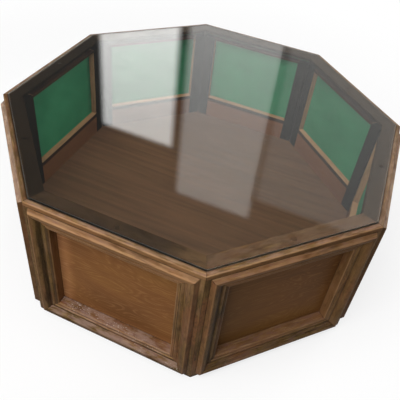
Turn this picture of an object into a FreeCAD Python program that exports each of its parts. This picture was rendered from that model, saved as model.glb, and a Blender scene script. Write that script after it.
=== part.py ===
"""Octagonal display table: framed and panelled sides, a rebated rim and a lift-off pane.

Millimetres, +Z up. The origin is on the floor, under the centre of the pane. The front side
faces -Y, and the other sides follow it anticlockwise, seen from above.
"""
import FreeCAD
import Part

import math
import os

# Driving dimensions, in millimetres

# Whole table
side_names = ["front", "front_right", "right", "back_right", "back", "back_left", "left", "front_left"]
across_flats = 1000.0
table_height = 380.0

# Side frames: two stiles and two rails round each opening
frame_thickness = 25.0
frame_ease = 1.2

# Moulding: it lies on the frame's face and lines the opening down to the panel
moulding_land = 18.0
moulding_rise = 10.0
bevel_width = 6.0
crest_ease = 1.2
ovolo_width = 17.8
ovolo_drop = 11.0
quirk_width = 2.5
bead_width = 9.0
bead_height = 1.6
groove_width = 1.2
groove_depth = 1.3
inner_bead_width = 8.0
inner_bead_height = 0.9
inner_bead_fall = 2.4

# Bare frame left outside the moulding, at the corners, under the rim and above the floor
side_margin = 12.0
top_margin = 2.0
bottom_margin = 10.5

# Panel behind each opening
panel_thickness = 6.0
panel_overlap = 7.0

# Battens round the inner face of each panel
batten_thickness = 18.0
batten_stile_width = 34.0
batten_head_width = 8.0
batten_foot_width = 80.0

# Rim: mitred rails with a rebate for the pane
rim_thickness = 11.0
rim_width = 48.0
rim_lip_width = 12.0
rebate_depth = 3.5
rim_round = 3.0
rim_under_ease = 1.0
lip_ease = 0.8

# Pane and the discs under it
glass_thickness = 6.0
glass_gap = 1.0
glass_corner_radius = 6.0
glass_arris = 0.8
pad_diameter = 10.0
pad_thickness = 1.0

# Floor of the display space, on ledges that reach up to the panels
board_thickness = 9.0
board_gap = 0.4
cleat_width = 20.0
cleat_lift = 3.5
cleat_end_gap = 6.0

# Glue blocks behind the upright joints
block_depth = 12.0
block_panel_gap = 0.4

# Countersunk wood screws, and how much of the rail or board they bite into
screw_diameter = 3.5
screw_head_diameter = 7.0
screw_head_height = 2.2
screw_tip_length = 4.0
screw_clearance = 0.1
rail_bite_share = 0.6
board_bite_share = 0.65
cleat_screw_place_share = 0.55

# How far a cutting shape runs past what it cuts, and how close counts as the same place
overrun = 5.0
same_place = 0.001

# Sizes that follow from them
Vector = FreeCAD.Vector
side_count = len(side_names)
side_angle = 360.0 / side_count
corner_slope = math.tan(math.radians(side_angle / 2))
apothem = across_flats / 2
half_edge = apothem * corner_slope
frame_top = table_height - rim_thickness
frame_back = apothem - frame_thickness
half_opening = half_edge - side_margin - moulding_land
opening_bottom = bottom_margin + moulding_land
opening_top = frame_top - top_margin - moulding_land
crest_place = moulding_land - bevel_width
crest_to_quirk = crest_ease + ovolo_width + quirk_width
moulding_width = bevel_width + crest_to_quirk + bead_width + groove_width + inner_bead_width
panel_back = frame_back - panel_thickness
panel_half_width = half_opening + panel_overlap
panel_bottom = opening_bottom - panel_overlap
panel_top = opening_top + panel_overlap
rebate_floor = table_height - rebate_depth
glass_bottom = rebate_floor + pad_thickness
cleat_height = panel_bottom - cleat_lift
cleat_face = frame_back - cleat_width
board_bottom = panel_bottom
board_top = board_bottom + board_thickness
cleat_screw_length = cleat_width + rail_bite_share * frame_thickness
board_screw_length = cleat_height + board_bite_share * board_thickness


def half_length_at(distance):
    """Half the length of a side at this distance from the table's axis."""
    return distance * corner_slope


def prism(points, direction):
    """Solid swept from a flat outline along a vector."""
    wire = Part.makePolygon(points + points[:1])
    return Part.Face(wire).extrude(direction)


def octagon(distance, z):
    """Corners of an octagon whose sides lie this far from the axis."""
    reach = distance / math.cos(math.radians(side_angle / 2))
    corners = []
    for number in range(side_count):
        turn = math.radians(side_angle * (number - 1 / 2) - 90)
        corners.append(Vector(reach * math.cos(turn), reach * math.sin(turn), z))
    return corners


def turned(shape, number):
    """Copy of a front-side shape, turned to another side."""
    copy = shape.copy()
    copy.rotate(Vector(0, 0, 0), Vector(0, 0, 1), side_angle * number)
    return copy


def all_round(shapes):
    """Copies of front-side solids on every side, as one group."""
    return Part.makeCompound([turned(shape, number) for number in range(side_count) for shape in shapes])


def near(first, second):
    """Whether two coordinates are the same place."""
    return math.isclose(first, second, abs_tol=same_place)


def edges_where(shape, test):
    """Edges whose two ends both pass a test."""
    return [edge for edge in shape.Edges if all(test(vertex.Point) for vertex in edge.Vertexes)]


def edges_along_x(shape, y, z):
    """Edges of a bar that runs along X, at this place of its section."""
    return edges_where(shape, lambda point: near(point.y, y) and near(point.z, z))


def make_frame_stile():
    """Left stile: mitred against its neighbour, with softened outer edges."""
    points = [
        Vector(-half_edge, -apothem, 0),
        Vector(-half_opening, -apothem, 0),
        Vector(-half_opening, -frame_back, 0),
        Vector(-half_length_at(frame_back), -frame_back, 0),
    ]
    stile = prism(points, Vector(0, 0, frame_top))
    corner = edges_where(stile, lambda point: near(point.x, -half_edge))
    ends = edges_along_x(stile, -apothem, 0) + edges_along_x(stile, -apothem, frame_top)
    return stile.makeFillet(frame_ease, corner + ends)


def make_frame_rail(bottom, top, worn_height):
    """Rail between the stiles, with one softened outer edge."""
    corner = Vector(-half_opening, -apothem, bottom)
    rail = Part.makeBox(2 * half_opening, frame_thickness, top - bottom, corner)
    return rail.makeFillet(frame_ease, edges_along_x(rail, -apothem, worn_height))


def moulding_outline():
    """Runs of the moulding's section: two points are straight and three are an arc.

    x is the place across the moulding from its crest, and y the height above the frame's face.
    """
    foot = Vector(-bevel_width, 0, 0)
    peak = Vector(0, moulding_rise, 0)
    crest_start = peak + (foot - peak) * (crest_ease / foot.distanceToPoint(peak))
    crest_end = Vector(crest_ease, moulding_rise, 0)
    crest_middle = (crest_start + crest_end + peak * 2) / 4

    # The ovolo is an arc that leaves the crest level and falls ever more steeply
    radius = (ovolo_width ** 2 + ovolo_drop ** 2) / (2 * ovolo_drop)
    half_sweep = math.atan2(ovolo_width, radius - ovolo_drop) / 2
    centre = crest_end - Vector(0, radius, 0)
    ovolo_middle = centre + Vector(radius * math.sin(half_sweep), radius * math.cos(half_sweep), 0)
    ovolo_end = crest_end + Vector(ovolo_width, -ovolo_drop, 0)

    bead_start = ovolo_end + Vector(quirk_width, 0, 0)
    bead_top = bead_start + Vector(bead_width / 2, bead_height, 0)
    bead_end = bead_start + Vector(bead_width, 0, 0)
    groove = bead_end + Vector(groove_width / 2, -groove_depth, 0)
    inner_start = bead_end + Vector(groove_width, 0, 0)
    inner_end = inner_start + Vector(inner_bead_width, -inner_bead_fall, 0)
    inner_top = (inner_start + inner_end) / 2 + Vector(0, inner_bead_height, 0)

    panel_edge = Vector(inner_end.x, -frame_thickness, 0)
    frame_foot = Vector(crest_place, -frame_thickness, 0)
    frame_edge = Vector(crest_place, 0, 0)
    return [
        (foot, crest_start),
        (crest_start, crest_middle, crest_end),
        (crest_end, ovolo_middle, ovolo_end),
        (ovolo_end, bead_start),
        (bead_start, bead_top, bead_end),
        (bead_end, groove),
        (groove, inner_start),
        (inner_start, inner_top, inner_end),
        (inner_end, panel_edge),
        (panel_edge, frame_foot),
        (frame_foot, frame_edge),
        (frame_edge, foot),
    ]


def make_moulding_length(half_run, half_across):
    """Level length over a front opening that is centred on the origin's height, with mitred ends.

    half_run and half_across are half the opening along the length and across it.
    """
    outer = half_across + moulding_land
    outer_half = half_run + moulding_land
    reach = outer_half + overrun
    crest_height = half_across + crest_place

    def spot(point):
        return Vector(-reach, -apothem - point.y, crest_height - point.x)

    edges = []
    for run in moulding_outline():
        spots = [spot(point) for point in run]
        curve = Part.Arc(*spots) if len(spots) == 3 else Part.LineSegment(*spots)
        edges.append(curve.toShape())
    bar = Part.Face(Part.Wire(edges)).extrude(Vector(2 * reach, 0, 0))

    start = -apothem - moulding_rise - overrun
    depth = moulding_rise + frame_thickness + 2 * overrun
    inside = moulding_width + overrun
    points = [
        Vector(-outer_half - overrun, start, outer + overrun),
        Vector(outer_half + overrun, start, outer + overrun),
        Vector(outer_half - inside, start, outer - inside),
        Vector(inside - outer_half, start, outer - inside),
    ]
    return bar.common(prism(points, Vector(0, depth, 0)))


def make_mouldings():
    """Rails and stiles of one moulding frame, two lengths each."""
    half_height = (opening_top - opening_bottom) / 2
    middle = Vector(0, 0, opening_bottom + half_height)
    rails = []
    stiles = []
    for half_turn in (0, 180):
        rail = make_moulding_length(half_opening, half_height)
        rail.rotate(Vector(0, 0, 0), Vector(0, 1, 0), half_turn)
        rails.append(rail.translated(middle))
        stile = make_moulding_length(half_height, half_opening)
        stile.rotate(Vector(0, 0, 0), Vector(0, 1, 0), half_turn + 90)
        stiles.append(stile.translated(middle))
    return rails, stiles


def make_panel():
    """Veneered board against the backs of the frame and the moulding."""
    corner = Vector(-panel_half_width, -frame_back, panel_bottom)
    return Part.makeBox(2 * panel_half_width, panel_thickness, panel_top - panel_bottom, corner)


def make_batten_rail(bottom, top):
    """Level batten on the panel's inner face, between the upright ones."""
    half_run = panel_half_width - batten_stile_width
    corner = Vector(-half_run, -panel_back, bottom)
    return Part.makeBox(2 * half_run, batten_thickness, top - bottom, corner)


def make_batten_stile(left):
    """Upright batten on the panel's inner face, from the base board to the panel's top."""
    corner = Vector(left, -panel_back, board_top)
    return Part.makeBox(batten_stile_width, batten_thickness, panel_top - board_top, corner)


def make_battens():
    """Level and upright battens of the front panel."""
    head = make_batten_rail(panel_top - batten_head_width, panel_top)
    foot = make_batten_rail(board_top, board_top + batten_foot_width)
    left = make_batten_stile(-panel_half_width)
    right = make_batten_stile(panel_half_width - batten_stile_width)
    return [head, foot], [left, right]


def make_rim_rail():
    """Front rail of the rim: rebated, with a rounded outer edge and mitred ends."""
    inner = apothem - rim_width
    lip = apothem - rim_lip_width
    reach = half_edge + overrun
    points = [
        Vector(-reach, -apothem, frame_top),
        Vector(-reach, -apothem, table_height),
        Vector(-reach, -lip, table_height),
        Vector(-reach, -lip, rebate_floor),
        Vector(-reach, -inner, rebate_floor),
        Vector(-reach, -inner, frame_top),
    ]
    rail = prism(points, Vector(2 * reach, 0, 0))
    rail = rail.makeFillet(rim_round, edges_along_x(rail, -apothem, table_height))
    rail = rail.makeFillet(rim_under_ease, edges_along_x(rail, -apothem, frame_top))
    rail = rail.makeFillet(lip_ease, edges_along_x(rail, -lip, table_height))

    # The mitres lie in upright planes through the table's axis
    far = apothem + overrun
    wedge = [
        Vector(0, 0, frame_top - overrun),
        Vector(-half_length_at(far), -far, frame_top - overrun),
        Vector(half_length_at(far), -far, frame_top - overrun),
    ]
    return rail.common(prism(wedge, Vector(0, 0, rim_thickness + 2 * overrun)))


def make_glass():
    """Octagonal pane with rounded corners and ground edges."""
    reach = apothem - rim_lip_width - glass_gap
    pane = prism(octagon(reach, glass_bottom), Vector(0, 0, glass_thickness))

    def is_level(edge):
        return near(edge.Vertexes[0].Point.z, edge.Vertexes[1].Point.z)

    pane = pane.makeFillet(glass_corner_radius, [edge for edge in pane.Edges if not is_level(edge)])
    return pane.makeChamfer(glass_arris, [edge for edge in pane.Edges if is_level(edge)])


def make_pad():
    """Clear disc in the middle of the front rail's rebate."""
    place = apothem - (rim_lip_width + rim_width) / 2
    return Part.makeCylinder(pad_diameter / 2, pad_thickness, Vector(0, -place, rebate_floor))


def make_screw(length, clearance):
    """Countersunk screw along +Z from its head's face, or its hole when it has a clearance."""
    shank = screw_diameter / 2 + clearance
    head = screw_head_diameter / 2 + clearance
    shank_end = length - screw_tip_length
    screw = Part.makeCone(head, shank, screw_head_height)
    body = Part.makeCylinder(shank, shank_end - screw_head_height, Vector(0, 0, screw_head_height))
    tip = Part.makeCone(shank, clearance, screw_tip_length, Vector(0, 0, shank_end))
    return screw.fuse([body, tip]).removeSplitter()


def cleat_screws(clearance):
    """Screws of the front cleat, driven outwards into the frame's bottom rail."""
    place = cleat_screw_place_share * half_opening
    screws = []
    for x in (-place, place):
        screw = make_screw(cleat_screw_length, clearance)
        screw.rotate(Vector(0, 0, 0), Vector(1, 0, 0), 90)
        screws.append(screw.translated(Vector(x, -cleat_face, cleat_lift + cleat_height / 2)))
    return screws


def board_screw(clearance):
    """Screw of the front cleat, driven up into the base board."""
    place = (panel_back + cleat_face) / 2
    return make_screw(board_screw_length, clearance).translated(Vector(0, -place, cleat_lift))


def make_cleat():
    """Ledge on the back of the bottom rail, drilled for its screws."""
    half_run = half_length_at(cleat_face) - cleat_end_gap
    cleat = Part.makeBox(2 * half_run, cleat_width, cleat_height, Vector(-half_run, -frame_back, cleat_lift))
    return cleat.cut(cleat_screws(screw_clearance) + [board_screw(screw_clearance)])


def make_base_board():
    """Octagonal floor on the cleats, drilled from below."""
    board = prism(octagon(panel_back - board_gap, board_bottom), Vector(0, 0, board_thickness))
    return board.cut(all_round([board_screw(screw_clearance)]))


def make_corner_block():
    """Upright block in the corner between the front side and the next one."""
    corner = Vector(half_length_at(frame_back), -frame_back, board_top)
    run = corner.x - panel_half_width - block_panel_gap
    turn = FreeCAD.Rotation(Vector(0, 0, 1), side_angle)
    along = Vector(-run, 0, 0)
    inward = Vector(0, block_depth, 0)
    next_along = turn.multVec(Vector(run, 0, 0))
    next_inward = turn.multVec(inward)
    points = [
        corner,
        corner + next_along,
        corner + next_along + next_inward,
        corner + along + inward,
        corner + along,
    ]
    return prism(points, Vector(0, 0, frame_top - board_top))


def make_side_pieces():
    """Solids of each node that every side has, built for the front."""
    left_stile = make_frame_stile()
    right_stile = left_stile.mirror(Vector(0, 0, 0), Vector(1, 0, 0))
    top_rail = make_frame_rail(opening_top, frame_top, frame_top)
    bottom_rail = make_frame_rail(0, opening_bottom, 0).cut(cleat_screws(screw_clearance))
    moulding_rails, moulding_stiles = make_mouldings()
    return {
        "frame_stiles": [left_stile, right_stile],
        "frame_rails": [top_rail, bottom_rail],
        "moulding_rails": moulding_rails,
        "moulding_stiles": moulding_stiles,
        "panel": [make_panel()],
        "rim_rail": [make_rim_rail()],
    }


def build():
    """Every node's shape by name."""
    nodes = {}
    for piece, solids in make_side_pieces().items():
        for number, side in enumerate(side_names):
            nodes[piece + "_" + side] = turned(Part.makeCompound(solids), number)
    batten_rails, batten_stiles = make_battens()
    nodes["batten_rails"] = all_round(batten_rails)
    nodes["batten_stiles"] = all_round(batten_stiles)
    nodes["glass_top"] = make_glass()
    nodes["glass_pads"] = all_round([make_pad()])
    nodes["base_board"] = make_base_board()
    nodes["base_cleats"] = all_round([make_cleat()])
    nodes["corner_blocks"] = all_round([make_corner_block()])
    nodes["cleat_screws"] = all_round(cleat_screws(0))
    nodes["board_screws"] = all_round([board_screw(0)])
    return nodes


os.makedirs("parts", exist_ok=True)
for name, shape in build().items():
    shape.exportStep("parts/" + name + ".step")
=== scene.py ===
"""Looks of the octagonal display table: timeworn stained wood with painted highlights, sheen and shade,
panels lined in green, and a clear pane.

Metres, in the part's own frame: +Z up, the front side faces -Y. Every side's materials are laid out
in that side's own directions: X along it, -Y out of it, Z up. Colours are linear.

A mask is a number from 0 to 1. The settings of a mask are where it is 0, where it is 1 and, if there is
a third number, its strength. Four numbers are a strip: where it starts, is full, begins to fade and ends.
Two numbers for a cover, a drop, a wearing, a highlight or a roughness are its levels where a mask is 0 and
where it is 1.
"""

import math

import bpy
from mathutils import Matrix, Vector


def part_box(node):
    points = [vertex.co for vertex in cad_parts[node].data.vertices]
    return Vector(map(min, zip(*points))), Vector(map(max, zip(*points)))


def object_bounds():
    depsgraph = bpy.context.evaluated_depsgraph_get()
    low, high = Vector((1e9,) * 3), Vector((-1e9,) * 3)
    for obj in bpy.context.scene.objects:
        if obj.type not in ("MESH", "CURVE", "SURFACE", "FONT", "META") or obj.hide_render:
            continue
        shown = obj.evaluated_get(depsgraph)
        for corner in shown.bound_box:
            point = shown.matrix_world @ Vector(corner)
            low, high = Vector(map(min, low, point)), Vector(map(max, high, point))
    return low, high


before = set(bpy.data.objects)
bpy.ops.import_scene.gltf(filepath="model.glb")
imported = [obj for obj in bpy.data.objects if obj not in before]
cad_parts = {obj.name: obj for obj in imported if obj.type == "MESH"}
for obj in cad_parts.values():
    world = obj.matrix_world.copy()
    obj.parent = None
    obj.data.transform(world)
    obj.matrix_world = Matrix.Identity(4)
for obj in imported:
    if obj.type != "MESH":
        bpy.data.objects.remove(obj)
cad_low, cad_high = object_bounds()

# Names and places, from the frame and from the part's own sizes
SIDES = ("front", "front_right", "right", "back_right", "back", "back_left", "left", "front_left")
SIDE_TURN = math.tau / len(SIDES)
CORNER_SLOPE = math.tan(SIDE_TURN / 2)
rail_low, rail_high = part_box("frame_rails_front")
moulding_low, moulding_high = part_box("moulding_rails_front")
rim_low, rim_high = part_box("rim_rail_front")
FACE_REACH = -rail_low.y
RIM_TOP = rim_high.z
RIM_BOTTOM = rim_low.z
HALF_EDGE = FACE_REACH * CORNER_SLOPE
HALF_OPENING = rail_high.x
LAND = moulding_high.x - HALF_OPENING
HALF_HEIGHT = (moulding_high.z - moulding_low.z) / 2 - LAND
MIDDLE_HEIGHT = (moulding_high.z + moulding_low.z) / 2
PANE_REACH = -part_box("glass_top")[0].y
PANEL_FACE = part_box("panel_front")[0].y
PANEL_INSET = 0.0277
PANEL_END = HALF_OPENING - PANEL_INSET
PANEL_FOOT = MIDDLE_HEIGHT - HALF_HEIGHT + PANEL_INSET
BATTEN_STILE_WIDTH = 0.034
BATTEN_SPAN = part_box("panel_front")[1].x - BATTEN_STILE_WIDTH
BATTEN_FOOT_TOP = 0.1105

# Numbers of the sides, counted to the right from the front
LEFT, FRONT_LEFT, FRONT, FRONT_RIGHT, RIGHT = -2.0, -1.0, 0.0, 1.0, 2.0
SIDE_REACH = 0.5
PAIR_REACH = 0.6

# Shift of the grain from side to side, and half the soft border between two halves of a side
GRAIN_SHIFT = 7.3
GRAIN_SHIFT_DEPTH = 0.37
HALF_BORDER = 0.001

# Forms of the moulding, as distances inside the opening's edge
CREST_PLACE = -0.0115
HOLLOW_START = -0.0022
HOLLOW_FULL = 0.0020
QUIRK_END = 0.0100
GROOVE_START = 0.0192
GROOVE_END = 0.0262
LEDGE_START = 0.0200
LEDGE_FULL = 0.0230
WALL_PLACE = 0.0276

# Camera: place, the spot on the rim's level that it aims at, and where in the image that spot lies
IMAGE_PIXELS = 400
CAMERA_PLACE = Vector((0.3506, -1.0496, 1.1428))
CAMERA_AIM = Vector((0.0422, -0.1239, 0.38))
CAMERA_ROLL = math.radians(7.0)
CAMERA_LENS = 44.57
CAMERA_SENSOR = 36.0
AIM_PIXEL = (203, 140)


def add(tree, kind, **settings):
    """New shader node with some of its settings."""
    node = tree.nodes.new("ShaderNode" + kind)
    for name, value in settings.items():
        setattr(node, name, value)
    return node


def feed(tree, socket, value):
    """Joins a socket to an output, or sets its value."""
    if isinstance(value, bpy.types.NodeSocket):
        tree.links.new(value, socket)
    else:
        socket.default_value = value


def calc(tree, operation, *values):
    """Math node on numbers or outputs."""
    node = add(tree, "Math", operation=operation)
    for socket, value in zip(node.inputs, values):
        feed(tree, socket, value)
    return node.outputs[0]


def times(tree, first, *others):
    """Product of several numbers or outputs."""
    for other in others:
        first = calc(tree, "MULTIPLY", first, other)
    return first


def most(tree, first, *others):
    """The largest of several masks."""
    for other in others:
        first = calc(tree, "MAXIMUM", first, other)
    return first


def magnitude(tree, value):
    """A number without its sign."""
    return calc(tree, "ABSOLUTE", value)


def opposite(tree, mask):
    """1 where a mask is 0, and 0 where it is 1."""
    return calc(tree, "SUBTRACT", 1.0, mask)


def level(tree, mask, off, on):
    """One number where a mask is 0, and another where it is 1."""
    return calc(tree, "MULTIPLY_ADD", mask, on - off, off)


def scaled(tree, place, scales):
    """Coordinates multiplied by three numbers."""
    node = add(tree, "VectorMath", operation="MULTIPLY")
    feed(tree, node.inputs[0], place)
    feed(tree, node.inputs[1], scales)
    return node.outputs[0]


def noise(tree, place, scales, detail=3.0, roughness=0.55, distortion=0.0):
    """Noise from 0 to 1, whose features have these scales per metre."""
    node = add(tree, "TexNoise")
    feed(tree, node.inputs["Vector"], scaled(tree, place, scales))
    feed(tree, node.inputs["Scale"], 1.0)
    feed(tree, node.inputs["Detail"], detail)
    feed(tree, node.inputs["Roughness"], roughness)
    feed(tree, node.inputs["Distortion"], distortion)
    return node.outputs["Fac"]


def step(tree, value, start, end):
    """Smooth step from 0 at start to 1 at end, either way round."""
    node = add(tree, "MapRange", interpolation_type="SMOOTHSTEP")
    feed(tree, node.inputs["Value"], value)
    feed(tree, node.inputs["From Min"], start)
    feed(tree, node.inputs["From Max"], end)
    return node.outputs["Result"]


def band(tree, value, start, end, strength):
    """Smooth step that ends at a strength."""
    return times(tree, step(tree, value, start, end), strength)


def ridge(tree, value, middle, half_width):
    """1 along a line, 0 beyond half its width."""
    off = magnitude(tree, calc(tree, "SUBTRACT", value, middle))
    return step(tree, off, half_width, half_width / 3)


def strip(tree, value, start, full, fade, end):
    """0 outside a strip, 1 within it, with soft borders."""
    return times(tree, step(tree, value, start, full), step(tree, value, end, fade))


def mix(tree, share, first, second, blend="MIX"):
    """Two colours mixed by a share."""
    node = add(tree, "Mix", data_type="RGBA", blend_type=blend)
    feed(tree, node.inputs[0], share)
    for socket, value in zip(node.inputs[6:8], (first, second)):
        feed(tree, socket, value if isinstance(value, bpy.types.NodeSocket) else (*value, 1.0))
    return node.outputs[2]


def ramp(tree, value, stops):
    """Colour from a list of places and colours."""
    node = add(tree, "ValToRGB")
    feed(tree, node.inputs[0], value)
    elements = node.color_ramp.elements
    while len(elements) < len(stops):
        elements.new(0.5)
    for element, (place, colour) in zip(elements, stops):
        element.position = place
        element.color = (*colour, 1.0)
    return node.outputs[0]


def split(tree, vector):
    """The three coordinates of a vector."""
    node = add(tree, "SeparateXYZ")
    feed(tree, node.inputs[0], vector)
    return node.outputs[0], node.outputs[1], node.outputs[2]


def join(tree, x, y, z):
    """Vector of three coordinates."""
    node = add(tree, "CombineXYZ")
    for socket, value in zip(node.inputs, (x, y, z)):
        feed(tree, socket, value)
    return node.outputs[0]


def object_place(tree):
    """Place in the part's frame, which moves with the body."""
    return add(tree, "TexCoord").outputs["Object"]


def new_material(name):
    """Empty material: its tree and its main shader."""
    material = bpy.data.materials.new(name)
    material.use_nodes = True
    tree = material.node_tree
    tree.nodes.clear()
    shader = add(tree, "BsdfPrincipled")
    output = add(tree, "OutputMaterial")
    tree.links.new(shader.outputs[0], output.inputs["Surface"])
    return material, tree, shader


def surface(tree, shader):
    """Makes a shader the one that shows."""
    output = next(node for node in tree.nodes if node.type == "OUTPUT_MATERIAL")
    tree.links.new(shader.outputs[0], output.inputs["Surface"])


def blend_shaders(tree, share, first, second):
    """Shows two shaders mixed by a share."""
    both = add(tree, "MixShader")
    feed(tree, both.inputs[0], share)
    tree.links.new(first.outputs[0], both.inputs[1])
    tree.links.new(second.outputs[0], both.inputs[2])
    surface(tree, both)


def bump(tree, shader, height, distance, strength):
    """Relief on a shader from a height of 0 to 1."""
    node = add(tree, "Bump")
    feed(tree, node.inputs["Height"], height)
    feed(tree, node.inputs["Distance"], distance)
    feed(tree, node.inputs["Strength"], strength)
    tree.links.new(node.outputs[0], shader.inputs["Normal"])


def turn_to_front(tree, vector, number):
    """Vector of a side, turned as if the side were the front."""
    spin = add(tree, "VectorRotate", rotation_type="Z_AXIS")
    feed(tree, spin.inputs["Vector"], vector)
    feed(tree, spin.inputs["Angle"], times(tree, number, -SIDE_TURN))
    return spin.outputs[0]


def side_place(tree):
    """Place in the side's own directions, and the side's number."""
    place = object_place(tree)
    x, y, _ = split(tree, place)
    turn = calc(tree, "ARCTAN2", x, times(tree, y, -1.0))
    number = calc(tree, "ROUND", calc(tree, "DIVIDE", turn, SIDE_TURN))
    return turn_to_front(tree, place, number), number


def grain_place(tree, place, number, upright, seed):
    """Place with X along the grain, shifted so that no two sides have the same grain."""
    x, y, z = split(tree, place)
    along = join(tree, z, y, x) if upright else place
    shift = calc(tree, "MULTIPLY_ADD", number, GRAIN_SHIFT, seed)
    node = add(tree, "VectorMath", operation="ADD")
    feed(tree, node.inputs[0], along)
    feed(tree, node.inputs[1], join(tree, shift, times(tree, shift, GRAIN_SHIFT_DEPTH), shift))
    return node.outputs[0]


def on_side(tree, number, wanted):
    """1 on one side, 0 on the others."""
    return calc(tree, "COMPARE", number, wanted, SIDE_REACH)


def on_pair(tree, number, first, second):
    """1 on two neighbours, 0 on the other sides."""
    return calc(tree, "COMPARE", number, (first + second) / 2, PAIR_REACH)


def near_side(tree, number):
    """1 on the front and on the side to its right, which face the camera."""
    return on_pair(tree, number, FRONT, FRONT_RIGHT)


def across_moulding(tree, place):
    """How far a place is inside the opening's edge, from its rails and from its stiles."""
    x, _, z = split(tree, place)
    from_stile = calc(tree, "SUBTRACT", HALF_OPENING, magnitude(tree, x))
    from_middle = magnitude(tree, calc(tree, "SUBTRACT", z, MIDDLE_HEIGHT))
    return calc(tree, "SUBTRACT", HALF_HEIGHT, from_middle), from_stile


def left_hand(tree, place):
    """1 on the left half of a side, 0 on its right half."""
    return step(tree, split(tree, place)[0], HALF_BORDER, -HALF_BORDER)


def upper(tree, place):
    """1 on the upper half of a side, 0 on its lower half."""
    return step(tree, split(tree, place)[2], MIDDLE_HEIGHT - HALF_BORDER, MIDDLE_HEIGHT + HALF_BORDER)


# Tones of the stained wood
DARK_STAIN = (0.038, 0.021, 0.008)
MID_STAIN = (0.118, 0.064, 0.023)
PALE_STAIN = (0.196, 0.114, 0.040)
RED_STAIN = (0.195, 0.078, 0.035)
OLIVE_STAIN = (0.106, 0.069, 0.022)
# The dusty, mauve, grey and rim tones also serve as painted sheen on faces that look up
DUSTY_STAIN_AND_SHEEN = (0.255, 0.140, 0.078)
MAUVE_DUST_AND_SHEEN = (0.290, 0.186, 0.142)
GREY_DUST_AND_SHEEN = (0.540, 0.395, 0.300)
ORANGE_STAIN_AND_LIGHT = (0.235, 0.118, 0.050)
RIM_DUST_AND_SHEEN = (0.290, 0.178, 0.120)
BRUISE = (0.175, 0.092, 0.080)
GOLD_GLINT = (0.430, 0.280, 0.125)
RUBBED_AND_HIGHLIGHT = (0.45, 0.255, 0.120)
CREASE = (0.010, 0.006, 0.003)
DUST = (0.55, 0.48, 0.43)
STAIN_TONES = ((0.31, DARK_STAIN), (0.47, MID_STAIN), (0.68, PALE_STAIN))
WOOD_SHINE = 0.03
STAIN_ROUGHNESS = (0.36, 0.61)
STAIN_BUMP = (0.0006, 0.6)
FIBRE_HEIGHT = 0.4
STREAK_HEIGHT = 0.6

# Scales of its noises, along the grain and across it
STREAK_SCALES = (13, 110, 110)
FIBRE_SCALES = (40, 700, 700)
PATCH_SCALES = (8, 26, 26)
MOTTLE_SCALES = (48, 75, 75)
BLOTCH_SCALES = (30, 110, 110)
BRUISE_SCALES = (45, 150, 150)
GLINT_SCALES = (18, 320, 320)
WASH_SCALES = (15, 40, 40)
RAGGED_SCALES = (26, 190, 190)
GATHERED_SCALES = (14, 30, 30)
SPECK_SCALES = (220, 360, 360)

# Its masks
RED_PATCHES = (0.50, 0.63, 0.65)
OLIVE_PATCHES = (0.47, 0.36, 0.60)
DARK_FIBRES = (0.50, 0.75, 0.40)
DARK_MOTTLE = (0.50, 0.34, 0.50)
PALE_MOTTLE = (0.54, 0.70, 0.50)
NEAR_FLOOR = (0.085, 0.050)
LOOKS_UP = (0.20, 0.80)
BLOTCHES = (0.36, 0.60)
BRUISES = (0.52, 0.66, 0.45)
GLINTS = (0.55, 0.70, 0.40)
DARK_WASH = (0.50, 0.32, 0.45)
PALE_WASH = (0.52, 0.70, 0.32)
RAGGED_BORDER = (0.28, 0.52)
GATHERED_DUST = (0.45, 0.65)
SPECKS = (0.60, 0.70)
HANDLED_CORNER = (0.110, 0.030, 0.22)

# How much of them shows
FAR_SIDE_SHADE = 0.40
FAR_SIDE_BLOTCH = 0.55
FLOOR_RISE = 0.35
FADED_AND_SHEEN_COVER = (0.70, 0.85)
WASH_COVER = (1.0, 0.4)
RUBBED_AND_HIGHLIGHT_COVER = 0.90
SPECK_COVER = 0.80


def handled_corner(tree, place, number):
    """Upper right corner of the front, where hands have rubbed the stain."""
    x, _, z = split(tree, place)
    along = calc(tree, "SUBTRACT", HALF_EDGE, x)
    below = calc(tree, "SUBTRACT", RIM_TOP, z)
    away = calc(tree, "SQRT", calc(tree, "ADD", times(tree, along, along), times(tree, below, below)))
    return times(tree, on_side(tree, number, FRONT), band(tree, away, *HANDLED_CORNER))


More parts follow.
